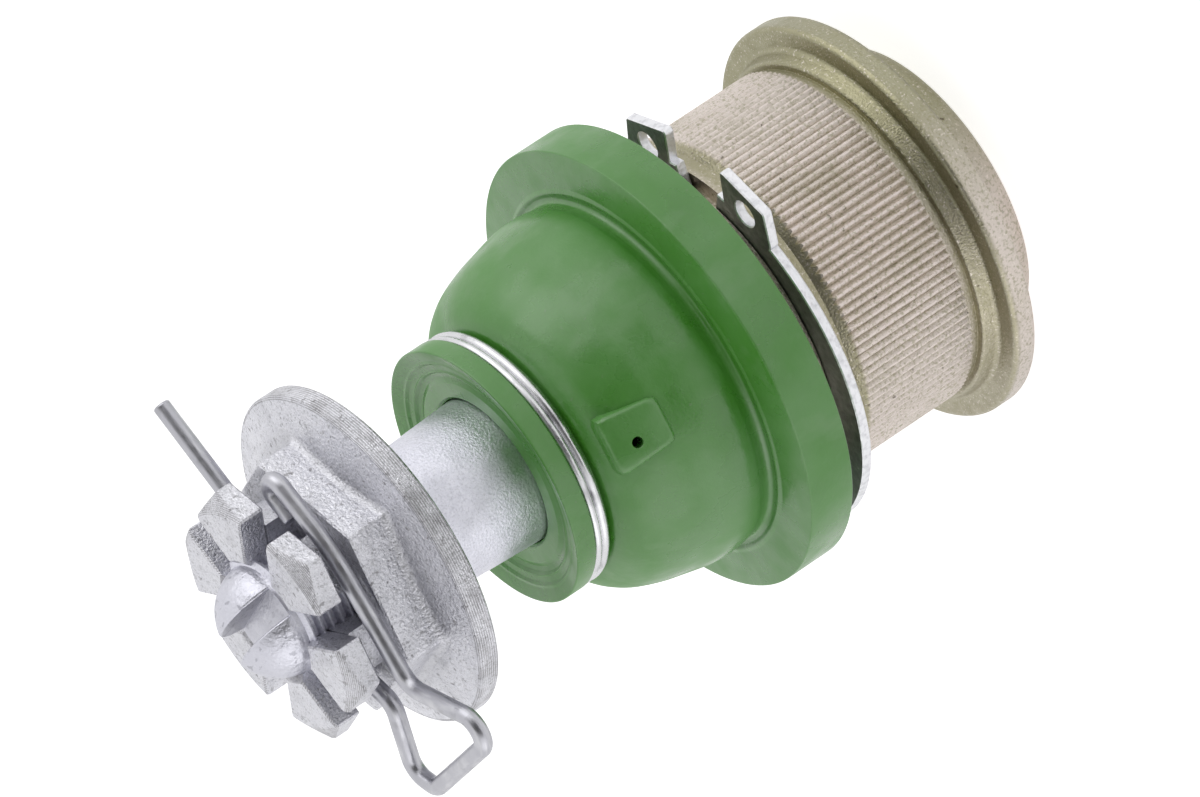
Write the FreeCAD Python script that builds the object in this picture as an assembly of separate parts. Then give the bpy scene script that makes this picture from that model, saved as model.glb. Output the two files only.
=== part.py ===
import FreeCAD, Part
import math
import os

from FreeCAD import Vector

# Suspension ball joint, in millimetres.
# +Z runs along the stud towards its thread, and the joint stands on its rear end at z = 0.
# +X runs along the cross-hole of the stud, towards the free end of the spring clip.

# Fits and clearances
seat_clearance = 0.05
slip_clearance = 0.10
soft_clearance = 0.30

# Housing, outside, from the rear end up
boss_radius = 21.6
boss_height = 6.6
boss_edge_round = 2.0
flange_radius = 29.3
flange_thickness = 3.6
flange_edge_round = 0.7
collar_radius = 26.0
collar_height = 2.1
relief_depth = 0.55
relief_height = 1.4
knurl_radius = 24.85
knurl_depth = 0.45
knurl_teeth = 134
knurl_crest_share = 0.26
knurl_length = 17.3
knurl_run_out = 1.4
land_radius = 24.0
land_below_groove = 2.2
ring_groove_depth = 2.2
ring_groove_clearance = 0.15
land_above_groove = 4.05
neck_radius = 20.5
neck_height = 5.1

# Ball and its seats, stacked from the rear lip up
lip_thickness = 2.0
lip_inner_radius = 17.4
cover_thickness = 2.5
cover_radius = 20.2
cover_dish_depth = 1.4
cover_dish_radius = 13.0
spring_height = 2.2
spring_thickness = 1.2
spring_inner_radius = 8.5
thrust_plate_thickness = 1.5
thrust_plate_hole_radius = 4.0
seat_floor = 2.4
seat_wall = 3.45
seat_hole_radius = 6.0
seat_parting_gap = 0.6
front_seat_height = 8.5
ball_radius = 16.0
ball_flat_distance = 14.4
swing_cone_deg = 19.0
mouth_clearance = 0.6

# Stud
stud_neck_radius = 9.0
stud_neck_length = 25.0
taper_start_above_ball = 36.0
taper_gauge_radius = 10.58
taper_slope = 0.05
taper_length = 31.4
thread_core_radius = 8.1
thread_length = 18.7
thread_lead_in = 0.9
tip_radius = 7.9
tip_height = 5.5
tip_slot_width = 4.2
tip_slot_round = 0.3
cross_hole_radius = 1.6

# Boot, outside
boot_flange_radius = 32.5
boot_flange_thickness = 7.0
boot_flange_edge_round = 0.5
boot_bulge_radius = 25.6
boot_bead_offset = 0.9
boot_bead_rise = 0.7
boot_fold_depth = 0.2
boot_fold_width = 0.45
boot_fold_inset = 0.15
boot_fold_height = 1.95
boot_fold_round = 0.45
boot_bulge_height = 5.3
boot_shoulder_radius = 18.3
boot_shoulder_height = 20.9
boot_wall = 2.6
boot_neck_groove_radius = 17.3
boot_neck_groove_run_in = 0.47
boot_lip_radius = 18.7
boot_lip_height = 3.2
boot_lip_dish = 1.1
boot_lip_ridge_radius = 15.6
boot_lip_ridge_drop = 0.3
boot_neck_depth = 6.6

# Vent pad on the boot
pad_angle_deg = -114.4
pad_width = 7.0
pad_height = 7.7
pad_bottom_above_flange = 12.05
pad_foot_inset = 1.25
pad_foot_proud = 0.65
pad_lean_deg = 14.5
pad_edge_round = 0.6
vent_hole_radius = 0.75
vent_hole_above_middle = 0.85

# Rings
neck_wire_radius = 0.6
neck_wire_turns = 2
base_ring_wall = 2.0
base_ring_height = 4.2
snap_ring_thickness = 1.5
snap_ring_edge_break = 0.15
snap_ring_inner_radius = 23.0
snap_ring_width = 4.95
snap_ring_lean = 1.15
snap_ring_lean_deg = -174.4
snap_ring_eccentricity = 1.2
snap_ring_gap_deg = -57.1
lug_hole_angle_deg = 20.0
lug_hole_offset = 0.35
lug_hole_radius = 1.9
lug_reach = 4.05
lug_free_side_deg = 9.7
lug_far_side_deg = 25.4
lug_foot_deg = 31.4
lug_corner_round = 0.6

# Castle nut
nut_flange_radius = 24.15
nut_flange_edge = 3.0
nut_flange_rise = 1.07
hex_across_flats = 32.0
hex_height = 7.1
clip_groove_radius = 13.2
clip_groove_height = 4.4
head_height = 4.0
head_chamfer_height = 1.6
head_chamfer_inset = 0.4
slot_width = 5.15
nut_bore_radius = 8.2
nut_bore_chamfer = 0.9
nut_seat_clearance = 0.25
nut_rim_round = 0.4
nut_web_round = 1.2
nut_corner_round = 0.7
nut_edge_break = 0.25

# Spring clip, in the plane of the cross-hole
clip_wire_radius = 1.2
clip_end_round = 0.35
clip_tip_reach = 30.9
clip_leg_end = 13.5
clip_loop_reach = 31.6
clip_loop_height = 20.6
clip_loop_rise = 6.1
clip_bend_round = 2.6
clip_wrap_distance = 16.0
clip_wrap_round = 22.0
clip_hook_reach = 12.3
clip_hook_gap = 3.8
clip_hook_length = 5.3

# Levels that follow from the sizes above
flange_bottom = boss_height
flange_top = flange_bottom + flange_thickness
relief_bottom = flange_top + collar_height
knurl_bottom = relief_bottom + relief_height
knurl_top = knurl_bottom + knurl_length
run_out_top = knurl_top + knurl_run_out
snap_ring_outer_radius = snap_ring_inner_radius + snap_ring_width
lug_hole_distance = snap_ring_outer_radius + lug_hole_offset
lug_end_distance = snap_ring_outer_radius + lug_reach
groove_width = snap_ring_thickness + 2 * ring_groove_clearance
groove_bottom = run_out_top + land_below_groove
groove_top = groove_bottom + groove_width
housing_shoulder = groove_top + land_above_groove
housing_top = housing_shoulder + neck_height

cover_bottom = lip_thickness
cover_top = cover_bottom + cover_thickness
thrust_plate_bottom = cover_top + spring_height
seat_bottom = thrust_plate_bottom + thrust_plate_thickness
ball_centre = seat_bottom + seat_floor + ball_flat_distance
seat_shoulder = ball_centre + front_seat_height
cavity_radius = ball_radius + seat_wall

boot_back = housing_shoulder + soft_clearance
boot_front = boot_back + boot_flange_thickness
boot_bead_radius = boot_bulge_radius + boot_bead_offset
boot_bead_level = boot_front + boot_bead_rise
boot_fold_floor = boot_bead_level - boot_fold_depth
boot_bulge_level = boot_front + boot_bulge_height
boot_shoulder_level = boot_front + boot_shoulder_height
neck_ring_height = 2 * neck_wire_radius * neck_wire_turns
neck_groove_bottom = boot_shoulder_level + soft_clearance
neck_ring_bottom = neck_groove_bottom + boot_neck_groove_run_in + slip_clearance
neck_groove_top = neck_ring_bottom + neck_ring_height + slip_clearance
boot_lip_top = neck_groove_top + boot_lip_height
boot_face = boot_lip_top - boot_lip_dish

taper_gauge_level = boot_lip_top
taper_bottom = ball_centre + taper_start_above_ball
taper_top = taper_bottom + taper_length
thread_top = taper_top + thread_length
tip_top = thread_top + tip_height

nut_bottom = taper_top + slip_clearance * 3
nut_flange_front = nut_bottom + nut_flange_edge
hex_corner = hex_across_flats / math.sqrt(3)
hex_top = nut_flange_front + hex_height
head_bottom = hex_top + clip_groove_height
nut_top = head_bottom + head_height
clip_level = (hex_top + head_bottom) / 2 - slip_clearance * 3


def taper_radius(z):
    """Radius of the stud's taper at a level."""
    return taper_gauge_radius - taper_slope * (z - taper_gauge_level)


def at(radius, z):
    """A point of a turned outline, in the XZ plane."""
    return Vector(radius, 0, z)


def line(start, end):
    return Part.LineSegment(start, end).toShape()


def arc(start, middle, end):
    return Part.Arc(start, middle, end).toShape()


def outline(*points):
    """Straight edges from point to point."""
    return [line(a, b) for a, b in zip(points, points[1:])]


def smooth(*points):
    """One smooth curve through the points."""
    curve = Part.BSplineCurve()
    curve.interpolate(list(points))
    return [curve.toShape()]


def round_corner(before, corner, after, radius):
    """The two tangent points and the middle of the round at a corner."""
    back = (before - corner).normalize()
    ahead = (after - corner).normalize()
    half = back.getAngle(ahead) / 2
    reach = radius / math.tan(half)
    centre_way = (back + ahead).normalize()
    centre = corner + centre_way * (radius / math.sin(half))
    return corner + back * reach, centre - centre_way * radius, corner + ahead * reach


def rounded(points, radii):
    """Edges from point to point, with a round of its own radius at each inner point."""
    edges = []
    last = points[0]
    for before, corner, after, radius in zip(points, points[1:], points[2:], radii):
        enter, middle, leave = round_corner(before, corner, after, radius)
        edges += [line(last, enter), arc(enter, middle, leave)]
        last = leave
    return edges + [line(last, points[-1])]


def turned(edges):
    """A solid of revolution from a closed outline."""
    face = Part.Face(Part.Wire(Part.__sortEdges__(edges)))
    return face.revolve(Vector(0, 0, 0), Vector(0, 0, 1), 360)


def ring(inner, outer, bottom, top):
    return turned(outline(
        at(inner, bottom), at(outer, bottom), at(outer, top), at(inner, top), at(inner, bottom)))


def cylinder(radius, bottom, top):
    return Part.makeCylinder(radius, top - bottom, Vector(0, 0, bottom))


def polar(radius, degrees, z=0.0, centre=Vector(0, 0, 0)):
    angle = math.radians(degrees)
    return Vector(centre.x + radius * math.cos(angle), centre.y + radius * math.sin(angle), z)


def prism(edges, bottom, height):
    """A straight solid from a closed outline drawn at z = 0."""
    face = Part.Face(Part.Wire(Part.__sortEdges__(edges)))
    face.translate(Vector(0, 0, bottom))
    return face.extrude(Vector(0, 0, height))


def closed(points):
    return outline(*(list(points) + [points[0]]))


def solid(shape):
    """The single solid of a finished piece."""
    shape = shape.removeSplitter()
    if len(shape.Solids) != 1:
        raise ValueError("expected one solid, got %d" % len(shape.Solids))
    return shape.Solids[0]


def touches_flat_face(shape, edge):
    return any(isinstance(face.Surface, Part.Plane) for face in shape.ancestorsOfType(edge, Part.Face))


# Housing
def knurl_band():
    """Straight serrations whose upper ends run out to points on a cone."""
    step = 360.0 / knurl_teeth
    crest = step * knurl_crest_share / 2
    root_radius = knurl_radius - knurl_depth
    points = []
    for tooth in range(knurl_teeth):
        middle = tooth * step
        points.append(polar(knurl_radius, middle - crest))
        points.append(polar(knurl_radius, middle + crest))
        points.append(polar(root_radius, middle + step / 2))
    teeth = prism(closed(points), knurl_bottom, run_out_top - knurl_bottom)
    core = land_radius - knurl_depth
    outside = 2 * knurl_radius - land_radius
    envelope = turned(outline(
        at(core, knurl_bottom),
        at(outside, knurl_bottom),
        at(outside, knurl_top - knurl_run_out),
        at(land_radius, run_out_top),
        at(core, run_out_top),
        at(core, knurl_bottom)))
    return teeth.common(envelope)


def mouth_radius(z):
    """Radius that clears the stud's neck when it leans to the edge of its cone."""
    lean = math.radians(swing_cone_deg)
    return (z - ball_centre) * math.tan(lean) + stud_neck_radius / math.cos(lean) + mouth_clearance


def housing():
    relief_radius = knurl_radius - relief_depth
    core = land_radius - knurl_depth
    groove_radius = land_radius - ring_groove_depth
    cover_recess = cover_radius + slip_clearance
    ball_at_shoulder = math.sqrt(ball_radius ** 2 - front_seat_height ** 2)
    shoulder_bore = ball_at_shoulder + mouth_clearance
    outside = rounded(
        [at(lip_inner_radius, 0), at(boss_radius, 0), at(boss_radius, flange_bottom),
         at(flange_radius, flange_bottom), at(flange_radius, flange_top),
         at(collar_radius, flange_top), at(collar_radius - 0.7, relief_bottom),
         at(relief_radius, relief_bottom), at(relief_radius, knurl_bottom)],
        [boss_edge_round, 0.8, flange_edge_round, flange_edge_round, 0.8, 0.5, 0.05])
    above_knurl = outline(
        at(relief_radius, knurl_bottom), at(core, knurl_bottom), at(core, run_out_top),
        at(land_radius, run_out_top), at(land_radius, groove_bottom),
        at(groove_radius, groove_bottom), at(groove_radius, groove_top),
        at(land_radius, groove_top), at(land_radius, housing_shoulder - 0.4),
        at(land_radius - 0.4, housing_shoulder), at(neck_radius, housing_shoulder),
        at(neck_radius, housing_top - 0.5), at(neck_radius - 0.5, housing_top))
    inside = outline(
        at(neck_radius - 0.5, housing_top), at(mouth_radius(housing_top), housing_top),
        at(shoulder_bore, seat_shoulder), at(cavity_radius, seat_shoulder),
        at(cavity_radius, cover_top), at(cover_recess, cover_top),
        at(cover_recess, cover_bottom), at(lip_inner_radius, cover_bottom),
        at(lip_inner_radius, 0))
    return solid(turned(outside + above_knurl + inside).fuse(knurl_band()))


def end_cover():
    """Pressed disc with a dished middle, held under the rolled lip."""
    slope = 2.0
    face = outline(
        at(0, cover_bottom - cover_dish_depth), at(cover_dish_radius, cover_bottom - cover_dish_depth),
        at(cover_dish_radius + slope, cover_bottom), at(cover_radius, cover_bottom),
        at(cover_radius, cover_top), at(cover_dish_radius + slope, cover_top),
        at(cover_dish_radius, cover_top - cover_dish_depth), at(0, cover_top - cover_dish_depth),
        at(0, cover_bottom - cover_dish_depth))
    return solid(turned(face))


def disc_spring():
    """Conical spring washer between the cover and the thrust plate."""
    outer = cavity_radius - 2 * slip_clearance
    return solid(turned(outline(
        at(outer - spring_thickness / 2, cover_top), at(outer, cover_top + spring_thickness),
        at(spring_inner_radius + spring_thickness / 2, thrust_plate_bottom),
        at(spring_inner_radius, thrust_plate_bottom - spring_thickness),
        at(outer - spring_thickness / 2, cover_top))))


def thrust_plate():
    return solid(ring(thrust_plate_hole_radius, cavity_radius - slip_clearance,
                      thrust_plate_bottom, seat_bottom))


def ball_space():
    return Part.makeSphere(ball_radius + seat_clearance, Vector(0, 0, ball_centre))


def rear_ball_seat():
    top = ball_centre - seat_parting_gap / 2
    cup = ring(seat_hole_radius, cavity_radius - slip_clearance, seat_bottom, top)
    return solid(cup.cut(ball_space()))


def front_ball_seat():
    bottom = ball_centre + seat_parting_gap / 2
    blank = cylinder(cavity_radius - slip_clearance, bottom, seat_shoulder)
    return solid(blank.cut(ball_space()))


# Stud
def ball_stud():
    """Ball, neck, taper, threaded end at its root diameter, and domed end in one piece."""
    neck_start = math.sqrt(ball_radius ** 2 - stud_neck_radius ** 2)
    flat_radius = math.sqrt(ball_radius ** 2 - ball_flat_distance ** 2)
    flat_level = ball_centre - ball_flat_distance
    neck_top = ball_centre + stud_neck_length
    flare = (taper_radius(taper_bottom) - stud_neck_radius) / 2
    flare_middle = (neck_top + taper_bottom) / 2
    dome_middle = thread_top + tip_height * 0.72
    dome_middle_radius = tip_radius * 0.70
    edges = outline(at(0, flat_level), at(flat_radius, flat_level))
    edges += [arc(at(flat_radius, flat_level), at(ball_radius, ball_centre),
                  at(stud_neck_radius, ball_centre + neck_start))]
    edges += outline(at(stud_neck_radius, ball_centre + neck_start), at(stud_neck_radius, neck_top))
    edges += smooth(at(stud_neck_radius, neck_top),
                    at(stud_neck_radius + flare * 0.35, (neck_top + flare_middle) / 2),
                    at(stud_neck_radius + flare, flare_middle),
                    at(stud_neck_radius + flare * 1.65, (taper_bottom + flare_middle) / 2),
                    at(taper_radius(taper_bottom), taper_bottom))
    edges += outline(at(taper_radius(taper_bottom), taper_bottom),
                     at(taper_radius(taper_top), taper_top),
                     at(thread_core_radius, taper_top + 0.2),
                     at(thread_core_radius, thread_top - thread_lead_in),
                     at(tip_radius, thread_top))
    edges += [arc(at(tip_radius, thread_top), at(dome_middle_radius, dome_middle), at(0, tip_top))]
    edges += outline(at(0, tip_top), at(0, flat_level))
    stud = turned(edges)
    reach = 2 * taper_radius(taper_bottom)
    hole = Part.makeCylinder(cross_hole_radius, 2 * reach, Vector(-reach, 0, clip_level), Vector(1, 0, 0))
    slot = Part.makeBox(tip_slot_width, 2 * reach, tip_height + 1,
                        Vector(-tip_slot_width / 2, -reach, thread_top))
    stud = solid(stud.cut(hole).cut(slot))
    slot_edges = [e for e in stud.Edges if e.BoundBox.ZMax > thread_top + 0.1 and e.BoundBox.ZLength > 0.1]
    return solid(stud.makeFillet(tip_slot_round, slot_edges))


# Boot
def boot_outside():
    """The rubber boot's outer form with no hollow."""
    bulge_foot = at(boot_bulge_radius - 2 * boot_fold_inset, boot_fold_floor + boot_fold_height)
    bulge_side = at(boot_bulge_radius, boot_bulge_level)
    shoulder = at(boot_shoulder_radius, boot_shoulder_level)
    dome = boot_shoulder_level - boot_bulge_level
    ridge_level = boot_lip_top - boot_lip_ridge_drop
    reach = boot_bulge_radius - boot_shoulder_radius
    edges = rounded(
        [at(0, boot_back), at(boot_flange_radius, boot_back), at(boot_flange_radius, boot_front),
         at(boot_bead_radius, boot_bead_level), at(boot_bead_radius - boot_fold_width, boot_fold_floor),
         at(boot_bulge_radius - boot_fold_inset, boot_fold_floor), bulge_foot],
        [boot_flange_edge_round, boot_flange_edge_round, 0.2, 0.2, boot_fold_round])
    edges += smooth(bulge_foot, bulge_side,
                    at(boot_bulge_radius - reach * 0.06, boot_bulge_level + dome * 0.20),
                    at(boot_bulge_radius - reach * 0.21, boot_bulge_level + dome * 0.52),
                    at(boot_bulge_radius - reach * 0.37, boot_bulge_level + dome * 0.72),
                    at(boot_bulge_radius - reach * 0.66, boot_bulge_level + dome * 0.91),
                    shoulder)
    edges += outline(
        shoulder, at(boot_neck_groove_radius, neck_groove_bottom),
        at(boot_neck_groove_radius, neck_groove_top), at(boot_lip_radius - 0.3, neck_groove_top),
        at(boot_lip_radius, neck_groove_top + 0.3), at(boot_lip_radius, boot_lip_top - 0.3),
        at(boot_lip_radius - 0.3, boot_lip_top),
        at(boot_lip_ridge_radius + 0.8, ridge_level - 0.25), at(boot_lip_ridge_radius + 0.4, ridge_level),
        at(boot_lip_ridge_radius, ridge_level), at(boot_lip_ridge_radius - 0.3, ridge_level - 0.25),
        at(boot_lip_ridge_radius - 0.7, ridge_level - 0.05), at(boot_lip_ridge_radius - 1.3, boot_face),
        at(0, boot_face), at(0, boot_back))
    return turned(edges)


def boot_hollow():
    """The space inside the boot, from the base ring's seat to the neck bore."""
    ring_seat = neck_radius + base_ring_wall + soft_clearance
    seat_top = boot_back + soft_clearance + base_ring_height + soft_clearance
    throat = neck_radius + soft_clearance
    neck_bottom = boot_face - boot_neck_depth
    bore_low = taper_radius(neck_bottom) + soft_clearance
    bore_high = taper_radius(boot_face) + soft_clearance
    widest = boot_bulge_radius - boot_wall
    dome = neck_bottom - boot_bulge_level
    reach = widest - bore_low
    edges = outline(
        at(0, boot_back - 1), at(ring_seat, boot_back - 1), at(ring_seat, seat_top),
        at(throat, seat_top), at(throat, boot_bead_level))
    edges += smooth(
        at(throat, boot_bead_level), at(widest - 0.8, boot_bulge_level - 2.6),
        at(widest, boot_bulge_level), at(widest - reach * 0.05, boot_bulge_level + dome * 0.35),
        at(widest - reach * 0.20, boot_bulge_level + dome * 0.68),
        at(widest - reach * 0.52, boot_bulge_level + dome * 0.91), at(bore_low, neck_bottom))
    edges += outline(
        at(bore_low, neck_bottom), at(bore_high, boot_face), at(bore_high - taper_slope, boot_face + 1),
        at(0, boot_face + 1), at(0, boot_back - 1))
    return turned(edges)


def vent_pad():
    """Flat-faced pad on the dome, leaning with the dome's side."""
    bottom = boot_front + pad_bottom_above_flange
    top = bottom + pad_height
    lean = math.tan(math.radians(pad_lean_deg))
    foot = boot_bulge_radius - pad_foot_inset + pad_foot_proud
    head = foot - pad_height * lean
    root = boot_shoulder_radius - boot_wall / 2
    side = Part.Face(Part.Wire(closed([at(root, bottom), at(foot, bottom), at(head, top), at(root, top)])))
    side.translate(Vector(0, -pad_width / 2, 0))
    pad = side.extrude(Vector(0, pad_width, 0))
    outer = [e for e in pad.Edges if e.BoundBox.XMax > root + pad_edge_round]
    pad = pad.makeFillet(pad_edge_round, outer)
    middle = (bottom + top) / 2 + vent_hole_above_middle
    mouth = Vector(foot - (middle - bottom) * lean, 0, middle)
    inward = Vector(-1, 0, -lean).normalize()
    hole = Part.makeCylinder(vent_hole_radius, boot_wall + pad_height, mouth - inward, inward)
    for piece in (pad, hole):
        piece.rotate(Vector(0, 0, 0), Vector(0, 0, 1), pad_angle_deg)
    return pad, hole


def dust_boot():
    pad, hole = vent_pad()
    return solid(boot_outside().fuse(pad).cut(boot_hollow()).cut(hole))


def boot_base_ring():
    bottom = boot_back + soft_clearance
    return solid(ring(neck_radius, neck_radius + base_ring_wall, bottom, bottom + base_ring_height))


def boot_neck_ring():
    """Wire ring of closed turns, one solid."""
    middle = boot_neck_groove_radius + slip_clearance + neck_wire_radius
    turns = []
    overlap = 0.04
    for turn in range(neck_wire_turns):
        level = neck_ring_bottom + neck_wire_radius * (2 * turn + 1)
        turns.append(Part.makeTorus(middle, neck_wire_radius + overlap, Vector(0, 0, level)))
    return solid(turns[0].fuse(turns[1:]))


# Snap ring
def lug(centre, side):
    """One ear of the snap ring, on one side of its gap."""
    def corner(distance, degrees):
        return polar(distance, snap_ring_gap_deg + side * degrees, 0, centre)
    root = (snap_ring_inner_radius + snap_ring_outer_radius) / 2
    foot = snap_ring_outer_radius - 0.6
    edges = rounded(
        [corner(root, (lug_free_side_deg + lug_far_side_deg) / 2), corner(root, lug_free_side_deg + 2.5),
         corner(lug_end_distance, lug_free_side_deg), corner(lug_end_distance, lug_far_side_deg),
         corner(foot, lug_foot_deg), corner(root, lug_foot_deg),
         corner(root, (lug_free_side_deg + lug_far_side_deg) / 2)],
        [0.2, lug_corner_round, lug_corner_round, lug_corner_round, 0.2])
    return prism(edges, 0, snap_ring_thickness)


def snap_ring():
    """External ring, wider opposite its gap, leaning in its groove."""
    bottom = groove_bottom + ring_groove_clearance
    centre = polar(snap_ring_lean, snap_ring_lean_deg)
    back = polar(snap_ring_eccentricity, snap_ring_gap_deg + 180, 0, centre)
    body = Part.makeCylinder(snap_ring_outer_radius, snap_ring_thickness, back)
    reach = 2 * snap_ring_outer_radius
    gap = prism(closed([polar(snap_ring_inner_radius / 2, snap_ring_gap_deg, 0, centre),
                        polar(reach, snap_ring_gap_deg - lug_free_side_deg - 2.5, 0, centre),
                        polar(reach, snap_ring_gap_deg + lug_free_side_deg + 2.5, 0, centre)]),
                0, snap_ring_thickness)
    body = body.cut(gap)
    body = body.fuse([lug(centre, -1), lug(centre, 1)])
    body = body.cut(Part.makeCylinder(snap_ring_inner_radius, snap_ring_thickness, centre))
    for side in (-1, 1):
        spot = polar(lug_hole_distance, snap_ring_gap_deg + side * lug_hole_angle_deg, 0, centre)
        body = body.cut(Part.makeCylinder(lug_hole_radius, snap_ring_thickness, spot))
    body = solid(body)
    rims = [e for e in body.Edges if e.BoundBox.ZLength < snap_ring_thickness / 2]
    body = solid(body.makeChamfer(snap_ring_edge_break, rims))
    body.translate(Vector(0, 0, bottom))
    return body


# Nut
def hexagon(bottom, top):
    """Hexagonal prism with worn corners, the first at 30 degrees."""
    corners = [polar(hex_corner, 60 * k + 30) for k in range(6)]
    start = (corners[0] + corners[5]) * 0.5
    return prism(rounded([start] + corners + [start], [nut_corner_round] * 6), bottom, top - bottom)


def nut_slots():
    """Three bars that cut all six slots."""
    reach = 2 * nut_flange_radius
    bars = []
    for k in range(3):
        bar = Part.makeBox(reach, slot_width, nut_top - hex_top + 1,
                           Vector(-reach / 2, -slot_width / 2, hex_top))
        bar.rotate(Vector(0, 0, 0), Vector(0, 0, 1), 60 * k)
        bars.append(bar)
    return bars


def nut_bore():
    """Through bore, its back mouth wide enough to pass the end of the taper."""
    bore = cylinder(nut_bore_radius, nut_bottom, nut_top)
    seat_chamfer = taper_radius(nut_bottom) + nut_seat_clearance - nut_bore_radius
    for level, way, chamfer in ((nut_bottom, 1, seat_chamfer), (nut_top, -1, nut_bore_chamfer)):
        mouth = Part.makeCone(nut_bore_radius + chamfer, nut_bore_radius, chamfer,
                              Vector(0, 0, level), Vector(0, 0, way))
        bore = bore.fuse(mouth)
    return bore


def flanged_hexagon():
    """Hexagon on a coned flange, with a soft web between them."""
    slope = nut_flange_rise / (nut_flange_radius - hex_corner)
    hub_level = nut_flange_front + slope * (nut_flange_radius - clip_groove_radius)
    flange = turned(rounded(
        [at(0, nut_bottom), at(nut_flange_radius, nut_bottom), at(nut_flange_radius, nut_flange_front),
         at(clip_groove_radius, hub_level), at(0, hub_level)],
        [nut_rim_round, nut_rim_round, nut_rim_round]) + outline(at(0, hub_level), at(0, nut_bottom)))
    body = flange.fuse(hexagon(nut_flange_front, hex_top)).removeSplitter()
    web = []
    for edge in body.Edges:
        kinds = [type(face.Surface) for face in body.ancestorsOfType(edge, Part.Face)]
        between = nut_flange_front < edge.BoundBox.ZMin and edge.BoundBox.ZMax < hex_top
        if Part.Cone in kinds and len(set(kinds)) == 2 and between:
            web.append(edge)
    body = body.makeFillet(nut_web_round, web)
    return body.makeChamfer(nut_edge_break, [e for e in body.Edges if e.BoundBox.ZMin > hex_top - 0.01])


def nut_heads(bore):
    """Six castle heads under one chamfer cone, each with broken edges."""
    envelope = turned(outline(
        at(0, head_bottom), at(hex_corner, head_bottom), at(hex_corner, nut_top - head_chamfer_height),
        at(hex_across_flats / 2 - head_chamfer_inset, nut_top), at(0, nut_top), at(0, head_bottom)))
    crown = hexagon(head_bottom, nut_top).common(envelope).cut(nut_slots()).cut(bore)
    inside = (nut_bore_radius + clip_groove_radius) / 2
    heads = []
    for head in crown.Solids:
        edges = [e for e in head.Edges
                 if Vector(e.BoundBox.Center.x, e.BoundBox.Center.y, 0).Length > inside]
        heads.append(head.makeChamfer(nut_edge_break, edges))
    return heads


def castle_nut():
    """Flanged hexagon nut with a wire groove below six slotted heads."""
    bore = nut_bore()
    neck = cylinder(clip_groove_radius, hex_top, head_bottom).cut(nut_slots())
    nut = flanged_hexagon().fuse([neck]).cut(bore)
    return solid(nut.fuse(nut_heads(bore)))


# Spring clip
def spring_clip():
    """Bent wire: a leg through the cross-hole, a pull loop, and a leg round the nut that ends in a hook."""
    loop = clip_loop_reach
    wrap = clip_wrap_distance
    hook = clip_hook_reach
    route = [
        Vector(clip_tip_reach, 0), Vector(-clip_leg_end, 0), Vector(-loop * 0.570, -clip_loop_rise * 0.31),
        Vector(-loop * 0.810, clip_loop_rise), Vector(-loop * 0.930, clip_loop_rise * 0.557),
        Vector(-loop, -clip_loop_height), Vector(-loop * 0.861, -clip_loop_height * 0.917),
        Vector(-loop * 0.589, -wrap * 0.600), Vector(0, -wrap), Vector(hook, -wrap * 0.970),
        Vector(hook, clip_hook_gap - wrap * 0.970),
        Vector(hook - clip_hook_length, clip_hook_gap - wrap * 0.982)]
    bend = clip_bend_round
    rounds = [2 * bend, bend, bend, bend, bend, bend, 1.35 * bend, clip_wrap_round,
              clip_hook_gap * 0.47, clip_hook_gap * 0.47]
    path = Part.Wire(rounded([p + Vector(0, 0, clip_level) for p in route], rounds))
    start = Vector(clip_tip_reach, 0, clip_level)
    section = Part.Wire(Part.makeCircle(clip_wire_radius, start, Vector(1, 0, 0)))
    wire = solid(path.makePipeShell([section], True, False))
    ends = [e for e in wire.Edges if len(e.Vertexes) == 1 and touches_flat_face(wire, e)]
    return solid(wire.makeFillet(clip_end_round, ends))


PIECES = {
    "housing": housing,
    "end_cover": end_cover,
    "disc_spring": disc_spring,
    "thrust_plate": thrust_plate,
    "rear_ball_seat": rear_ball_seat,
    "front_ball_seat": front_ball_seat,
    "ball_stud": ball_stud,
    "dust_boot": dust_boot,
    "boot_base_ring": boot_base_ring,
    "boot_neck_ring": boot_neck_ring,
    "snap_ring": snap_ring,
    "castle_nut": castle_nut,
    "spring_clip": spring_clip,
}

os.makedirs("parts", exist_ok=True)
for name, build in PIECES.items():
    build().exportStep("parts/%s.step" % name)
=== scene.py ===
"""Looks of a suspension ball joint: metal finishes, a moulded rubber boot, the stud's thread and a stage."""

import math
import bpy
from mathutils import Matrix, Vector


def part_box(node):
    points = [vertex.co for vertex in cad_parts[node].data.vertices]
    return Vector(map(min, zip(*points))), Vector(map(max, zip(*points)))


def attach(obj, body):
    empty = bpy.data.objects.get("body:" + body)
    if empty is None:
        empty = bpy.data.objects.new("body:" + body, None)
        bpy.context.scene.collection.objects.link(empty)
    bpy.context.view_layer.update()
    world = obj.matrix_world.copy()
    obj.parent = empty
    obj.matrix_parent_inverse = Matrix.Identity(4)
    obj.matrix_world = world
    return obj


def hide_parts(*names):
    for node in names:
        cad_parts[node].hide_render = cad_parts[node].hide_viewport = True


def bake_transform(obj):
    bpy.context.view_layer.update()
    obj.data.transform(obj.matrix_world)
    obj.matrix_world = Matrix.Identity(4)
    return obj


bl_info = {
    "name": "Suspension Ball Joint",
    "version": (1, 0, 0),
    "blender": (4, 5, 0),
    "location": "3D View > Sidebar > Ball Joint",
    "description": "Metal finishes, rubber boot, stud thread and pale stage of a ball joint",
    "category": "Object",
}

import bmesh
import bpy
from bpy.props import FloatProperty, FloatVectorProperty, IntProperty, PointerProperty
from mathutils import Matrix, Vector

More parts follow.
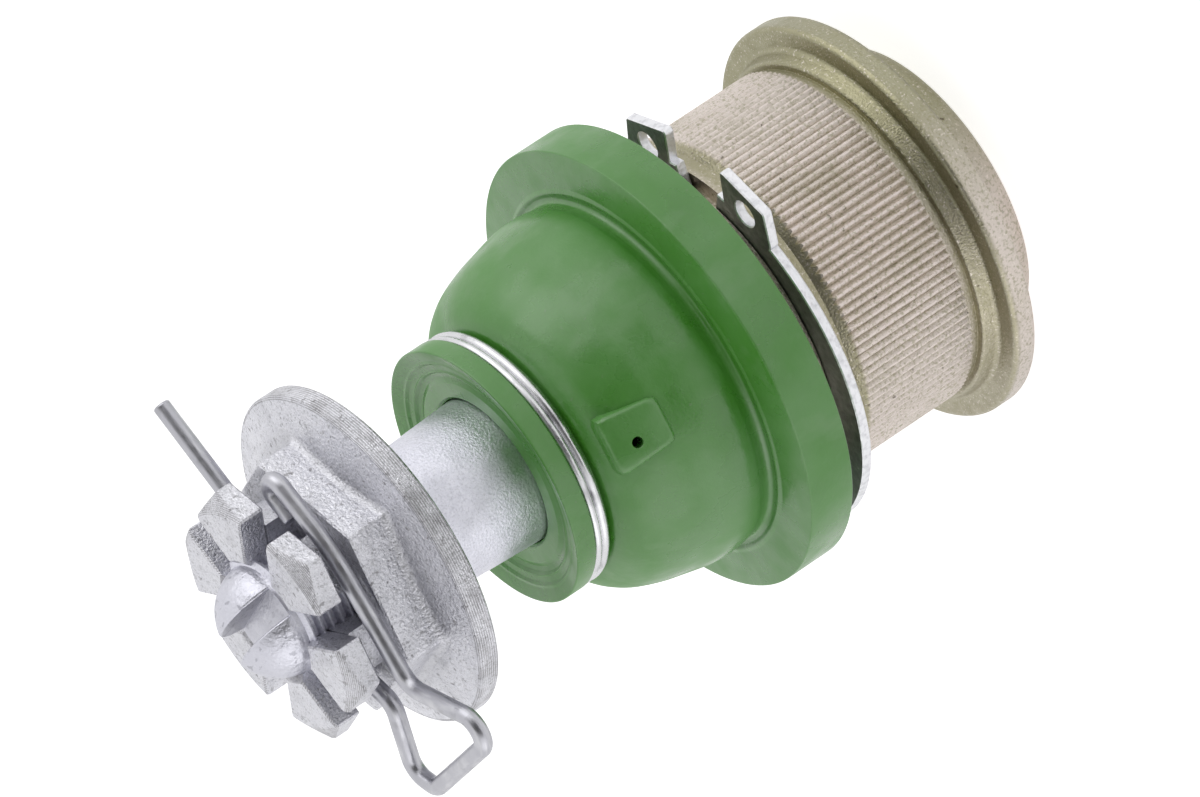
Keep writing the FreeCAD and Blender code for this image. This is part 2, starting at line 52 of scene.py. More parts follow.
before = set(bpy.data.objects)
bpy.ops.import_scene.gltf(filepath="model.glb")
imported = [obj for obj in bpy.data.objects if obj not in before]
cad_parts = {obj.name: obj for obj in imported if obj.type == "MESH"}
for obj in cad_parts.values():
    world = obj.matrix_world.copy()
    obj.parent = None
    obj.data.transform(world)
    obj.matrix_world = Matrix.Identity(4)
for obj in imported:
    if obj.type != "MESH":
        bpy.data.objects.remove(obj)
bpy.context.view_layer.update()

MM = 0.001
FULL_TURN = 2 * math.pi
HARD_EDGE = math.radians(32)

# The boot: levels and radii in millimetres, angles in degrees
BOOT_BACK = 40.75
BEND_START = 48.2
BOOT_SPLIT = 58.5
BEND_END = 69.0
DOME_STEPS = 8
WALL_STEPS = 6
PAD_ANGLE = -114.4
PAD_RADIUS = 23.75
PAD_LEVEL = 63.9
PAD_TILT = 75
PAD_BACK = -3.0
PAD_WIDENING = 0.025  # per millimetre towards the neck
# Painted light: how much more pale bloom the vent pad's rubber gets
PAD_PAINTED_LIGHT = 0.4
VENT_MIDDLE = Vector((-0.98, 0.51, -4.5))
DRILL_LENGTH = 10.0
DRILL_ROOM = 1.3  # times the vent's radius

# The thread: it sinks into the stud round the cross-hole, in millimetres
CROSS_HOLE_LEVEL = 104.7
CROSS_HOLE_RADIUS = 1.8
THREAD_SINK = 0.2
THREAD_STEPS = 48  # to a turn
THREAD_HARD_EDGE = math.radians(24)

# Bands of the finishes in metres along the stud: where each one fades in and, if it ends, where it fades out
# Painted shade: the flange's front and the shoulder darkened olive, in place of dark reflections there
SHOULDER_SHADE = (0.0092, 0.0099), (0.0125, 0.0135)
KNURL_START = (0.0125, 0.0140)
# Painted shadow: the land between the groove and the knurl, darkened where the snap ring shades it
GROOVE_LAND_SHADOW = (0.0309, 0.0314), (0.0335, 0.0350)
# Painted shade at the nut's foot, where the hexagon meets the flange
NUT_FOOT_SHADE = (0.0952, 0.0957), (0.0965, 0.0995)
NUT_BODY_START = (0.0962, 0.0972)
NUT_HEADS_START = (0.1065, 0.1072)
STUD_TIP_START = (0.1108, 0.1114)

# Edges of the finishes in metres from the stud's axis, or from the slot's middle
# The knurl's valleys, where painted shade goes
KNURL_VALLEY_SHADE = (0.02442, 0.02482)
NUT_FOOT_SHADE_EDGE = (0.0165, 0.0200)
NUT_RIM_DEPTH = 0.0004
NUT_RIM_FADE = 0.0002
SLOT_EDGE = (0.00209, 0.00216)

# Slopes, from 0 where a surface runs along the stud to 1 where it lies across it
CONE = (0.25, 0.35), (0.88, 0.95)
FLAT = (0.80, 0.97)

# The turned lines: how far they wander in metres, and how far they lean per metre of radius
TURNED_SWAY = 0.0003
TURNED_LEAN = 0.9

# The side of the housing facing the key lamp, where the plating stays plain; the pinkish blush, partly its
# own tone and partly painted light, grows away from it
KEY_LIT_SIDE = Vector((0.87, -0.50))

# Tones of the drawn steel and of the seats' polymer
PLAIN_STEEL = (0.45, 0.45, 0.47)
BRIGHT_WIRE = (0.72, 0.72, 0.74)
WIRE_STREAK = (0.78, 0.78, 0.80)
WIRE_STAIN = (0.25, 0.25, 0.26)
POLYMER = (0.78, 0.75, 0.66)
POLYMER_CLOUD = (0.68, 0.64, 0.54)

# The stage, in metres: lamps, room, floor and camera
AIM = Vector((0, 0, 0.062))
KEY_SIDE = Vector((0.84, -0.52, 0.10))
KEY_SIZE = 1.40
FILL_SIDE = Vector((-0.92, -0.12, 0.22))
FILL_SIZE = 1.20
LAMP_DISTANCE = 1.0
DARK_SIDE = Vector((-0.15, -0.90, 0.40))
DARK_EDGE = (0.45, 0.92)
FLOOR_SEEN = 0.72
FLOOR_MIRRORED = 0.42
CAMERA_PLACE = Vector((-0.2238, -1.3532, 0.6568))
CAMERA_RIGHT = Vector((-0.59958, -0.24000, -0.76348))
CAMERA_UP = Vector((0.78621, -0.35495, -0.50586))
CAMERA_REACH = 20.0
SENSOR_WIDTH = 36.0  # millimetres


def length(name, description, millimetres):
    return FloatProperty(name=name, description=description, default=millimetres * MM, unit="LENGTH",
                         precision=5)


def colour(name, description, red, green, blue):
    return FloatVectorProperty(name=name, description=description, default=(red, green, blue), size=3,
                               subtype="COLOR", min=0.0, max=1.0)


def share(name, description, value):
    return FloatProperty(name=name, description=description, default=value, min=0.0, max=1.0,
                         subtype="FACTOR")


class HousingLooks(bpy.types.PropertyGroup):
    """Finish of the press-in housing and its cover."""
    plating: colour("Plating", "Champagne zinc plating", 0.40, 0.385, 0.265)
    # Blush: the plating's pinkish tone, also used as painted light on the side away from the key lamp and
    # over the knurl
    rosy_tone_and_painted_light: colour("Blush", "Pinkish tint in the plating", 0.76, 0.68, 0.635)
    # Olive: a real tone of the plating, also used as painted shade in the knurl's valleys and at both ends of
    # the knurl
    olive_and_shade: colour("Olive", "Darker, greener tint in the plating", 0.34, 0.32, 0.20)
    speck: colour("Speck", "Pale specks in the plating", 0.88, 0.80, 0.75)
    pit: colour("Pit", "Dark pits in the plating", 0.12, 0.10, 0.07)
    roughness: share("Roughness", "Roughness of the plating", 0.37)


class BootLooks(bpy.types.PropertyGroup):
    """Sizes and colours of the rubber boot."""
    flange_radius: length("Flange radius", "Outer radius of the boot's base flange", 32.5)
    flange_height: length("Flange height", "Thickness of the boot's base flange", 7.0)
    bulge_radius: length("Bulge radius", "Largest radius of the dome", 25.6)
    neck_radius: length("Neck radius", "Radius of the groove under the neck wire", 17.3)
    lip_radius: length("Lip radius", "Outer radius of the neck lip", 18.7)
    vent_radius: length("Vent radius", "Radius of the vent hole in the pad", 0.75)
    steps: IntProperty(name="Steps", description="Steps round the boot", default=192, min=24)
    rubber: colour("Rubber", "Colour of the rubber", 0.068, 0.285, 0.026)
    bloom: colour("Bloom", "Paler colour of the bloom on the rubber", 0.145, 0.370, 0.105)
    scuff: colour("Scuff", "Scuffed places on the rubber", 0.200, 0.400, 0.160)
    dust: colour("Dust", "Specks of dust on the rubber", 0.20, 0.30, 0.16)
    roughness: share("Roughness", "Roughness of the rubber", 0.28)


class StudLooks(bpy.types.PropertyGroup):
    """Thread and finish of the ball stud."""
    thread_radius: length("Thread radius", "Outer radius of the thread", 8.93)
    thread_root: length("Thread root", "Root radius of the thread", 7.95)
    thread_pitch: length("Thread pitch", "Distance from one ridge to the next", 1.5)
    thread_start: length("Thread start", "Level where the ridge begins", 93.6)
    thread_turns: IntProperty(name="Thread turns", description="Turns of the ridge", default=11, min=1)
    zinc: colour("Zinc", "Silver zinc plating", 0.76, 0.76, 0.84)
    pale_grain: colour("Pale grain", "Pale grains in the zinc", 0.88, 0.88, 0.94)
    dark_grain: colour("Dark grain", "Dark grains in the zinc", 0.48, 0.48, 0.53)
    cloud: colour("Cloud", "Dull patches in the zinc", 0.52, 0.52, 0.57)
    tip: colour("Tip", "The domed end", 0.62, 0.62, 0.68)
    slot: colour("Slot", "The slot across the domed end", 0.40, 0.40, 0.43)
    marks: colour("Marks", "Marks on the domed end", 0.25, 0.25, 0.29)
    roughness: share("Roughness", "Roughness of the blasted shank", 0.40)


class NutLooks(bpy.types.PropertyGroup):
    """Finish of the castle nut, its clip and the rings."""
    zinc: colour("Zinc", "Zinc plating over a forged surface", 0.80, 0.80, 0.85)
    pale_grain: colour("Pale grain", "Pale grains in the zinc", 0.86, 0.86, 0.91)
    dark_grain: colour("Dark grain", "Dark grains in the zinc", 0.34, 0.34, 0.35)
    cloud: colour("Cloud", "Dull patches in the zinc", 0.46, 0.46, 0.49)
    dust: colour("Dust", "Fine dark speckle in the zinc", 0.42, 0.42, 0.44)
    # Foot: painted shade in the corner between hexagon and flange
    foot_shade: colour("Foot", "The corner between hexagon and flange", 0.36, 0.36, 0.38)
    body: colour("Body", "The hexagon and the heads", 0.40, 0.40, 0.42)
    pits: colour("Pits", "Dark marks and pits in the zinc", 0.16, 0.15, 0.15)
    wire: colour("Wire", "Drawn spring wire", 0.50, 0.50, 0.54)
    phosphate: colour("Phosphate", "Dark coat on the snap ring's faces", 0.20, 0.20, 0.20)
    sheared: colour("Sheared", "Bright sheared edge of the snap ring", 0.88, 0.88, 0.91)
    torn: colour("Torn", "Duller, torn places on the sheared edge", 0.55, 0.55, 0.58)
    turned_pitch: length("Turned pitch", "Spacing of the turned lines on the rim and the heads", 0.34)
    roughness: share("Roughness", "Roughness of the forged zinc", 0.38)


class StageLooks(bpy.types.PropertyGroup):
    """Floor, lamps and camera."""
    floor: colour("Floor", "Colour of the floor", 0.86, 0.86, 0.86)
    floor_size: length("Floor size", "Width of the floor", 12000.0)
    focal_length: FloatProperty(name="Focal length", description="In millimetres", default=349.275)
    key_power: FloatProperty(name="Key power", description="Power of the key lamp in watts", default=5.2)
    fill_power: FloatProperty(name="Fill power", description="Power of the fill lamp in watts", default=2.4)
    sky: FloatProperty(name="Sky", description="Strength of the light from all round", default=0.66)
    shade: share("Shade", "How much darker the room is on the camera's side", 0.88)


LOOKS = {
    "ball_joint_housing": HousingLooks,
    "ball_joint_boot": BootLooks,
    "ball_joint_stud": StudLooks,
    "ball_joint_nut": NutLooks,
    "ball_joint_stage": StageLooks,
}

# The Mix node's colour sockets, whose names its other sockets share
MIX_FIRST = 6
MIX_SECOND = 7
MIX_RESULT = 2


# Materials
class Nodes:
    """Nodes and links under construction in one tree."""

    def __init__(self, owner):
        owner.use_nodes = True
        self.tree = owner.node_tree

    def add(self, kind, **settings):
        node = self.tree.nodes.new(kind)
        for key, value in settings.items():
            setattr(node, key, value)
        return node

    def put(self, value, socket):
        """Links a socket, or sets a plain value."""
        if isinstance(value, bpy.types.NodeSocket):
            self.tree.links.new(value, socket)
        else:
            socket.default_value = value

    def span(self, value, low, high, start=0.0, end=1.0, shape="LINEAR"):
        """Value from low to high becomes start to end, clamped."""
        node = self.add("ShaderNodeMapRange", interpolation_type=shape)
        self.put(value, node.inputs["Value"])
        for key, number in (("From Min", low), ("From Max", high), ("To Min", start), ("To Max", end)):
            node.inputs[key].default_value = number
        return node.outputs["Result"]

    def math(self, operation, first, second=0.0):
        node = self.add("ShaderNodeMath", operation=operation)
        self.put(first, node.inputs[0])
        self.put(second, node.inputs[1])
        return node.outputs["Value"]

    def times(self, first, *others):
        """Product of two or more values."""
        for other in others:
            first = self.math("MULTIPLY", first, other)
        return first

    def band(self, value, rise, fall):
        """One between the two fades, and zero outside them."""
        return self.times(self.span(value, *rise), self.span(value, *fall, 1, 0))


class Finish(Nodes):
    """A material under construction, with its patterns read from Object coordinates."""

    def __init__(self, name, base, metallic, roughness):
        self.material = bpy.data.materials.new(name)
        super().__init__(self.material)
        self.shader = self.tree.nodes["Principled BSDF"]
        self.shader.inputs["Base Color"].default_value = (*base, 1)
        self.shader.inputs["Metallic"].default_value = metallic
        self.shader.inputs["Roughness"].default_value = roughness
        self.object = self.add("ShaderNodeTexCoord").outputs["Object"]
        self.base = (*base, 1)

    def noise(self, size, detail=2.0, stretch=(1, 1, 1)):
        """Noise whose grains are about size metres across."""
        place = self.add("ShaderNodeMapping")
        self.put(self.object, place.inputs["Vector"])
        place.inputs["Scale"].default_value = [1 / (size * way) for way in stretch]
        node = self.add("ShaderNodeTexNoise")
        self.put(place.outputs["Vector"], node.inputs["Vector"])
        node.inputs["Scale"].default_value = 1.0
        node.inputs["Detail"].default_value = detail
        return node.outputs["Fac"]

    def axes(self):
        node = self.add("ShaderNodeSeparateXYZ")
        self.put(self.object, node.inputs["Vector"])
        return node.outputs

    def radius(self):
        """Distance from the stud's axis."""
        x, y, _ = self.axes()
        return self.math("SQRT", self.math("ADD", self.times(x, x), self.times(y, y)))

    def facing(self):
        """How squarely the surface looks along the stud's axis, from 0 to 1."""
        normal = self.add("ShaderNodeSeparateXYZ")
        self.put(self.add("ShaderNodeNewGeometry").outputs["Normal"], normal.inputs["Vector"])
        return self.math("ABSOLUTE", normal.outputs["Z"])

    def tint(self, amount, tone):
        """Mixes another tone into the base colour."""
        node = self.add("ShaderNodeMix", data_type="RGBA")
        self.put(amount, node.inputs["Factor"])
        self.put(self.base, node.inputs[MIX_FIRST])
        self.put((*tone, 1), node.inputs[MIX_SECOND])
        self.base = node.outputs[MIX_RESULT]
        self.put(self.base, self.shader.inputs["Base Color"])

    def mottle(self, size, detail, low, high, amount, tone, stretch=(1, 1, 1)):
        """Tints the base colour where noise of that size passes from low to high."""
        self.tint(self.span(self.noise(size, detail, stretch), low, high, 0, amount), tone)

    def smear(self, size, detail, middle, less, more, low=0.3, high=0.7):
        """Lets the roughness wander about its middle value, as noise passes from low to high."""
        value = self.span(self.noise(size, detail), low, high, middle - less, middle + more)
        self.put(value, self.shader.inputs["Roughness"])

    def bump(self, height, depth, strength=1.0):
        """Adds relief of that depth in metres."""
        node = self.add("ShaderNodeBump")
        node.inputs["Strength"].default_value = strength
        node.inputs["Distance"].default_value = depth
        self.put(height, node.inputs["Height"])
        normal = self.shader.inputs["Normal"]
        if normal.is_linked:
            self.put(normal.links[0].from_socket, node.inputs["Normal"])
        self.put(node.outputs["Normal"], normal)


def champagne_plating(looks):
    """Plating with a pinkish blush, partly its own tone and partly painted light that lightens the side away
    from the key lamp and the knurl; olive painted shade darkens the knurl's valleys and both ends of the
    knurl.
    """
    finish = Finish("champagne_plating", looks.plating, 1.0, looks.roughness)
    x, y, z = finish.axes()
    radius = finish.radius()
    # Painted light: the blush is strongest on the side away from the key lamp and over the whole knurl
    lean = finish.math("ADD", finish.times(x, KEY_LIT_SIDE.x), finish.times(y, KEY_LIT_SIDE.y))
    lit_side_lightening = finish.span(finish.math("DIVIDE", lean, radius), 0.05, 0.70, 0.90, 0.05)
    knurl = finish.span(z, *KNURL_START)
    finish.tint(finish.math("MAXIMUM", lit_side_lightening, knurl), looks.rosy_tone_and_painted_light)
    # Painted shade: the knurl's valleys darkened olive
    finish.tint(finish.times(finish.span(radius, *KNURL_VALLEY_SHADE, 1, 0), knurl, 0.35), looks.olive_and_shade)
    # Painted shade: the shoulder band darkened olive, in place of dark reflections on the flange's front
    finish.tint(finish.times(finish.band(z, *SHOULDER_SHADE), 0.75), looks.olive_and_shade)
    # Painted shadow: the land by the snap ring darkened olive
    finish.tint(finish.times(finish.band(z, *GROOVE_LAND_SHADOW), 0.80), looks.olive_and_shade)
    finish.mottle(0.008, 4, 0.50, 0.80, 0.45, looks.olive_and_shade)
    finish.mottle(0.0004, 3, 0.50, 0.66, 0.62, looks.olive_and_shade)
    finish.mottle(0.00035, 2, 0.60, 0.72, 0.60, looks.speck)
    finish.mottle(0.0011, 3, 0.70, 0.76, 0.80, looks.pit)
    finish.smear(0.0015, 4, looks.roughness, 0.08, 0.10)
    finish.bump(finish.noise(0.00030, 3), 0.00010)
    finish.bump(finish.noise(0.0020, 3), 0.00006, 0.6)
    return finish.material


def moulded_rubber(looks, name="moulded_green_rubber", wear_and_painted_light=0.0):
    """Rubber under a pale bloom with scuffs and dust. The extra share adds more bloom, which makes the vent
    pad's copy paler as painted light.
    """
    finish = Finish(name, looks.rubber, 0.0, looks.roughness)
    finish.shader.inputs["Specular IOR Level"].default_value = 1.0
    finish.tint(finish.span(finish.noise(0.014, 4), 0.42, 0.66, wear_and_painted_light, 0.60 + wear_and_painted_light), looks.bloom)
    finish.mottle(0.005, 5, 0.58, 0.74, 0.40, looks.scuff, (1, 1, 2))
    finish.mottle(0.0016, 4, 0.56, 0.80, 0.25 + wear_and_painted_light, looks.bloom)
    finish.mottle(0.0009, 2, 0.735, 0.76, 0.35, looks.dust)
    finish.smear(0.008, 5, looks.roughness, 0.10, 0.18, 0.35, 0.65)
    finish.bump(finish.noise(0.00045, 3), 0.000018)
    finish.bump(finish.noise(0.0060, 3), 0.00022, 0.5)
    return finish.material


def blasted_zinc(looks):
    """Grainy zinc, with a duller, marked tip beyond the nut and a dark slot across it."""
    finish = Finish("blasted_zinc", looks.zinc, 1.0, looks.roughness)
    finish.mottle(0.00045, 2, 0.45, 0.75, 0.5, looks.pale_grain)
    finish.mottle(0.00028, 3, 0.50, 0.68, 0.45, looks.dark_grain)
    finish.mottle(0.004, 4, 0.5, 0.8, 0.4, looks.cloud)
    axes = finish.axes()
    tip = finish.span(axes["Z"], *STUD_TIP_START)
    finish.tint(finish.times(tip, 0.7), looks.tip)
    slot = finish.span(finish.math("ABSOLUTE", axes["X"]), *SLOT_EDGE, 0.65, 0)
    finish.tint(finish.times(tip, slot), looks.slot)
    marks = finish.span(finish.noise(0.0008, 5, (1, 3, 1)), 0.60, 0.66, 0, 0.5)
    finish.tint(finish.times(tip, marks), looks.marks)
    finish.smear(0.003, 4, looks.roughness, 0.05, 0.10)
    finish.bump(finish.times(tip, finish.noise(0.0010, 4)), 0.00018)
    finish.bump(finish.noise(0.00034, 3), 0.00007)
    finish.bump(finish.noise(0.0030, 3), 0.00008, 0.6)
    return finish.material


def forged_zinc(looks, rim_radius):
    """Zinc on a forging: pits, dark marks, and turned lines on the flange's rim and the heads' cones, with
    painted shade in the corner between the hexagon and the flange.
    """
    finish = Finish("forged_zinc", looks.zinc, 1.0, looks.roughness)
    finish.mottle(0.0004, 3, 0.50, 0.70, 0.6, looks.pale_grain)
    finish.mottle(0.0005, 4, 0.56, 0.68, 0.6, looks.dark_grain)
    finish.mottle(0.0035, 4, 0.50, 0.72, 0.4, looks.cloud)
    finish.mottle(0.0009, 5, 0.64, 0.69, 0.60, looks.pits)
    finish.mottle(0.00022, 2, 0.52, 0.66, 0.40, looks.dust)
    level = finish.axes()["Z"]
    radius = finish.radius()
    # Painted shade in the corner between the hexagon and the flange
    foot_shade = finish.span(radius, *NUT_FOOT_SHADE_EDGE, 0.42, 0)
    finish.tint(finish.times(foot_shade, finish.band(level, *NUT_FOOT_SHADE)), looks.foot_shade)
    finish.tint(finish.times(finish.span(level, *NUT_BODY_START), 0.15), looks.body)
    cone = finish.band(finish.facing(), *CONE)
    heads = finish.times(cone, finish.span(level, *NUT_HEADS_START))
    rim = finish.span(radius, rim_radius - NUT_RIM_FADE, rim_radius)
    turned = finish.math("MAXIMUM", rim, heads)
    sway = finish.times(finish.noise(0.006, 2), TURNED_SWAY)
    place = finish.math("ADD", level, finish.math("SUBTRACT", sway, finish.times(radius, TURNED_LEAN)))
    turns = finish.times(place, FULL_TURN / looks.turned_pitch)
    lines = finish.span(finish.math("SINE", turns), -1, 1)
    # On the nut this mask is only wear of the turned lines
    wear_and_painted_light = finish.span(finish.noise(0.0030, 4), 0.35, 0.60, 0.20, 0.60)
    finish.tint(finish.times(turned, wear_and_painted_light, lines), looks.pits)
    stain = finish.span(finish.noise(0.004, 3, (1, 1, 0.5)), 0.48, 0.62)
    finish.tint(finish.times(rim, stain, 0.20), looks.pits)
    finish.smear(0.0018, 4, looks.roughness, 0.10, 0.14)
    finish.bump(finish.noise(0.00042, 4), 0.00024)
    finish.bump(finish.noise(0.0035, 3), 0.00012, 0.6)
    finish.bump(finish.times(turned, lines), 0.00006)
    return finish.material


def drawn_wire(name, tone, roughness):
    """Steel with pale streaks and dark stains that run along z."""
    finish = Finish(name, tone, 1.0, roughness)
    finish.mottle(0.0005, 3, 0.50, 0.75, 0.5, WIRE_STREAK, (8, 8, 1))
    finish.mottle(0.0016, 4, 0.58, 0.72, 0.55, WIRE_STAIN, (3, 3, 1))
    finish.smear(0.0020, 3, roughness, 0.06, 0.10)
    finish.bump(finish.noise(0.00040, 2, (6, 6, 1)), 0.00003)
    return finish.material


def stamped_ring(looks):
    """Bright sheared edges, and dark phosphate on the two faces."""
    finish = Finish("stamped_spring_steel", looks.sheared, 1.0, 0.38)
    finish.mottle(0.0009, 4, 0.48, 0.70, 0.60, looks.torn)
    face = finish.span(finish.facing(), *FLAT)
    coat = finish.span(finish.noise(0.002, 4), 0.2, 0.8, 0.80, 1.0)
    finish.tint(finish.times(face, coat), looks.phosphate)
    finish.smear(0.0010, 4, 0.43, 0.09, 0.09)
    finish.bump(finish.noise(0.0005, 3), 0.00008)
    return finish.material


def plain_polymer():
    """Pale plastic with faint clouds, on pieces that the housing hides."""
    finish = Finish("seat_polymer", POLYMER, 0.0, 0.5)
    finish.mottle(0.003, 3, 0.4, 0.7, 0.4, POLYMER_CLOUD)
    finish.bump(finish.noise(0.0008, 2), 0.00003)
    return finish.material


def dress(node, material):
    """Gives a carried-over part its finish."""
    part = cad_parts[node]
    if not part.material_slots:
        part.data.materials.append(material)
    for place in part.material_slots:
        place.link = "DATA"
        place.material = material


# Shaping
def rounded(points, steps=4):
    """Outline through (radius, level, round) corners, in millimetres, with each corner rounded."""
    line = [Vector(points[0][:2])]
    for before, corner, after in zip(points, points[1:], points[2:]):
        here = Vector(corner[:2])
        if corner[2] <= 0:
            line.append(here)
            continue
        back = (Vector(before[:2]) - here).normalized()
        ahead = (Vector(after[:2]) - here).normalized()
        half = back.angle(ahead) / 2
        reach = corner[2] / math.tan(half)
        centre = here + (back + ahead).normalized() * corner[2] / math.sin(half)
        first = here + back * reach - centre
        last = here + ahead * reach - centre
        for step in range(steps + 1):
            arm = first.slerp(last, step / steps).normalized() * corner[2]
            line.append(centre + arm)
    line.append(Vector(points[-1][:2]))
    return line


def flowing(points, steps=6):
    """Smooth outline through the points."""
    points = [Vector(p) for p in points]
    ends = [2 * points[0] - points[1]] + points + [2 * points[-1] - points[-2]]
    line = []
    for a, b, c, d in zip(ends, ends[1:], ends[2:], ends[3:]):
        for step in range(steps):
            t = step / steps
            line.append(0.5 * (2 * b + (c - a) * t + (2 * a - 5 * b + 4 * c - d) * t * t
                               + (3 * b - a - 3 * c + d) * t ** 3))
    return line + [points[-1]]


def finished(name, form, material, sharp=HARD_EDGE):
    """An object from a bmesh, with its normals outward and its hard edges marked."""
    bmesh.ops.remove_doubles(form, verts=form.verts, dist=1e-7)
    bmesh.ops.recalc_face_normals(form, faces=form.faces)
    for face in form.faces:
        face.smooth = True
    for edge in form.edges:
        edge.smooth = len(edge.link_faces) == 2 and edge.calc_face_angle(0) < sharp
    mesh = bpy.data.meshes.new(name)
    form.to_mesh(mesh)
    form.free()
    mesh.materials.append(material)
    piece = bpy.data.objects.new(name, mesh)
    bpy.context.scene.collection.objects.link(piece)
    return piece


def spun(outline, steps):
    """A closed turned form from a closed outline in millimetres."""
    form = bmesh.new()
    corners = [form.verts.new((p.x * MM, 0, p.y * MM)) for p in outline]
    edges = [form.edges.new(pair) for pair in zip(corners, corners[1:] + corners[:1])]
    bmesh.ops.spin(form, geom=corners + edges, cent=(0, 0, 0), axis=(0, 0, 1), angle=FULL_TURN, steps=steps,
                   use_merge=True)
    return form


def loop(form, wide, high, level, squareness, middle=Vector((0, 0)), steps=40):
    """Corners of a ring in millimetres, from round (squareness 2) to nearly square."""
    ring = []
    for step in range(steps):
        across, along = math.cos(FULL_TURN * step / steps), math.sin(FULL_TURN * step / steps)
        grow = (abs(across) ** squareness + abs(along) ** squareness) ** (-1 / squareness)
        place = Vector((across * grow * wide + middle.x, along * grow * high + middle.y, level))
        ring.append(form.verts.new(place * MM))
    return ring


def skin(form, rings):
    """Faces from each ring to the next, and from the last one back to the first."""
    for below, above in zip(rings, rings[1:] + rings[:1]):
        for k in range(len(below)):
            form.faces.new((below[k - 1], below[k], above[k], above[k - 1]))


def drilled(piece, drill):
    """Cuts the drill's form out of a piece."""
    cut = piece.modifiers.new("drill", "BOOLEAN")
    cut.object = drill
    whole = piece.data
    piece.data = bpy.data.meshes.new_from_object(piece.evaluated_get(bpy.context.evaluated_depsgraph_get()))
    piece.data.name = whole.name
    piece.modifiers.clear()
    bpy.data.objects.remove(drill)
    bpy.data.meshes.remove(whole)


class BALLJOINT_OT_housing(bpy.types.Operator):
    """Give the housing, its cover and the pieces inside it their finishes"""
    bl_idname = "balljoint.housing"
    bl_label = "Housing"

    def execute(self, context):
        plating = champagne_plating(context.scene.ball_joint_housing)
        polymer = plain_polymer()
        steel = drawn_wire("plain_steel", PLAIN_STEEL, 0.4)
        for node in ("housing", "end_cover"):
            dress(node, plating)
        for node in ("rear_ball_seat", "front_ball_seat"):
            dress(node, polymer)
        for node in ("disc_spring", "thrust_plate", "boot_base_ring"):
            dress(node, steel)
        return {"FINISHED"}


